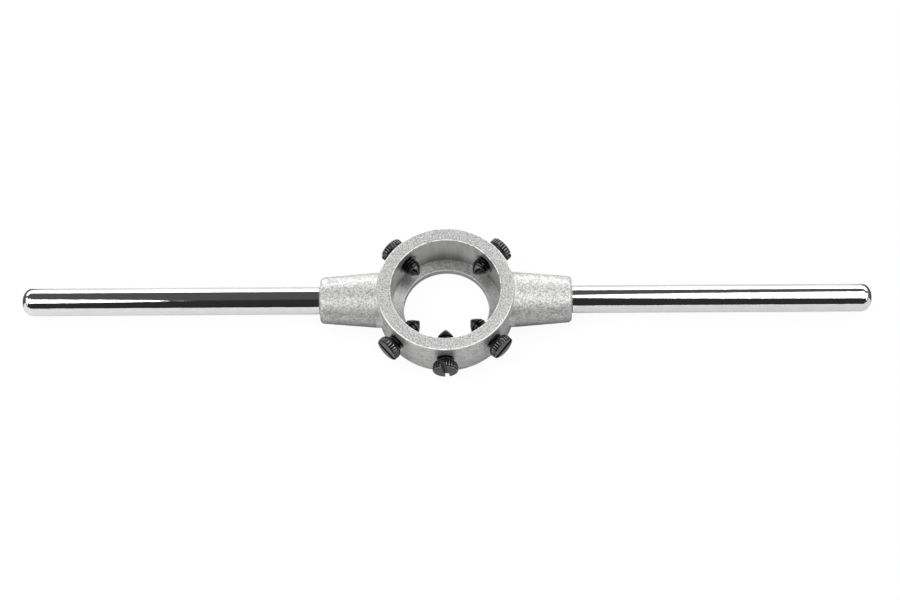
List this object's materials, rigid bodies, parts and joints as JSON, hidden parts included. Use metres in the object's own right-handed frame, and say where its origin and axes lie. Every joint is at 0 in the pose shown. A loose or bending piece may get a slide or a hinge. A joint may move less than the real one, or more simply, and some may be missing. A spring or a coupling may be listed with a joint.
{
  "type": "die holder",
  "caption": "Two-handled holder that clamps a round threading die in an open ring pocket with pointed thumb screws, so that it can be turned by hand.",
  "frame": {"origin": "on the axis of the die pocket, at the underside of the ring", "axes": "+X along the handles, to the right as pictured; +Z along the pocket axis, out of the open top; the spreader screw is at -Y"},
  "size_m": [0.2948, 0.0525, 0.017],
  "materials": {
    "cast_body": "blasted casting, fine even grain, machined pocket",
    "bright_handle": "polished bright plating",
    "black_screw": "satin black oxide"
  },
  "bodies": {
    "holder": {"holder_body": "cast_body", "left_handle": "bright_handle", "right_handle": "bright_handle"},
    "spreader": {"spreader_screw": "black_screw"},
    "front_left": {"front_left_screw": "black_screw"},
    "front_right": {"front_right_screw": "black_screw"},
    "back_left": {"back_left_screw": "black_screw"},
    "back_right": {"back_right_screw": "black_screw"}
  },
  "joints": [
    {"name": "spreader_travel", "type": "slide", "parent": "holder", "child": "spreader", "axis": [0, -1, 0], "range_m": [-0.001, 0.0066]},
    {"name": "front_left_travel", "type": "slide", "parent": "holder", "child": "front_left", "axis": [-0.7071, -0.7071, 0], "range_m": [-0.0013, 0.0063]},
    {"name": "front_right_travel", "type": "slide", "parent": "holder", "child": "front_right", "axis": [0.7071, -0.7071, 0], "range_m": [-0.0007, 0.0069]},
    {"name": "back_left_travel", "type": "slide", "parent": "holder", "child": "back_left", "axis": [-0.7071, 0.7071, 0], "range_m": [-0.0003, 0.0061]},
    {"name": "back_right_travel", "type": "slide", "parent": "holder", "child": "back_right", "axis": [0.7071, 0.7071, 0], "range_m": [-0.0005, 0.0059]}
  ]
}
